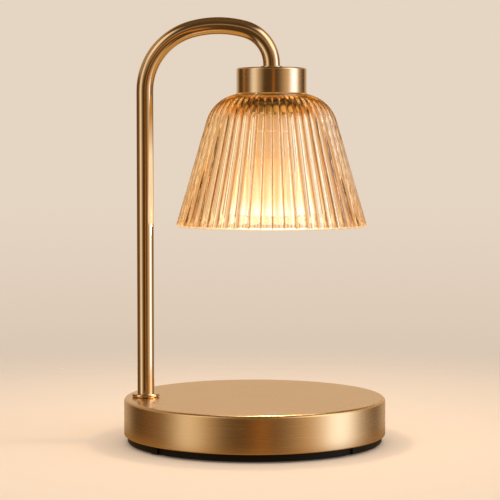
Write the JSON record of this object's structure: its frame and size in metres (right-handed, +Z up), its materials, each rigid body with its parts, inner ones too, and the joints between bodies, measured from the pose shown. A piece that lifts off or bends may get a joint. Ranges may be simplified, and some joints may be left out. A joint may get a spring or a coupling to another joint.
{
  "type": "candle warmer lamp",
  "caption": "Candle warmer lamp: round weighted brass-finish base, arched tube stem, and a ribbed amber glass shade with a twist-lock heat bulb hanging over the candle space.",
  "frame": {"origin": "centre of the round base, on the plane its feet stand on", "axes": "+Z up; +X from the stem towards the shade's axis; -Y is the front that the picture shows, +Y the rear with the cord entry"},
  "size_m": [0.16, 0.1614, 0.2591],
  "materials": {
    "brushed_brass": "brushed, satin",
    "polished_brass": "polished",
    "black_plastic": "satin black",
    "black_rubber": "matte",
    "cast_iron": "as cast, painted",
    "zinc_steel": "zinc plated",
    "dark_metal": "dark bronze, satin",
    "terminal_brass": "turned",
    "contact_nickel": "nickel plated",
    "white_ceramic": "unglazed",
    "amber_glass": "clear amber, pressed ribs",
    "silicone": "translucent silicone",
    "bulb_glass": "faceted reflector, coated",
    "bulb_front": "frosted front lens, lit, emissive",
    "capsule_glass": "clear quartz, emissive",
    "brown_wire": "heat-proof insulation",
    "blue_wire": "heat-proof insulation"
  },
  "bodies": {
    "frame": {"base_shell": "brushed_brass", "base_weight": "cast_iron", "bottom_cover": "black_plastic", "cover_screws": "zinc_steel", "rubber_feet": "black_rubber", "cord_bush": "black_rubber", "terminal_block": "white_ceramic", "terminal_barrels": "terminal_brass", "block_screw": "zinc_steel", "wire_live": "brown_wire", "wire_neutral": "blue_wire", "stem_tube": "brushed_brass", "foot_collar": "polished_brass", "foot_washer": "zinc_steel", "foot_nut": "zinc_steel", "head_collar": "polished_brass", "head_cap": "brushed_brass", "head_washer": "zinc_steel", "head_nut": "zinc_steel", "holder_bracket": "zinc_steel", "bracket_screws": "zinc_steel", "lamp_holder": "white_ceramic", "holder_contacts": "contact_nickel", "shade_fitter": "dark_metal"},
    "shade_glass": {"shade": "amber_glass", "shade_gasket": "silicone"},
    "ring": {"shade_ring": "dark_metal"},
    "bulb": {"bulb_base": "white_ceramic", "bulb_pins": "contact_nickel", "bulb_reflector": "bulb_glass", "bulb_lens": "bulb_front", "bulb_capsule": "capsule_glass"}
  },
  "joints": [
    {"name": "shade_drop", "type": "slide", "parent": "frame", "child": "shade_glass", "axis": [0, 0, -1], "range_m": [0, 0.006]},
    {"name": "ring_turn", "type": "hinge", "parent": "shade_glass", "child": "ring", "pos_m": [0.0102, 0, 0.20143], "axis": [0, 0, -1], "range_deg": [0, 1440]},
    {"name": "bulb_twist", "type": "hinge", "parent": "frame", "child": "bulb", "pos_m": [0.0102, 0, 0.18953], "axis": [0, 0, 1], "range_deg": [-25, 0]}
  ],
  "couplings": [
    {"joint": "ring_turn", "follows": "shade_drop", "rad_per_m": 4188.8}
  ]
}
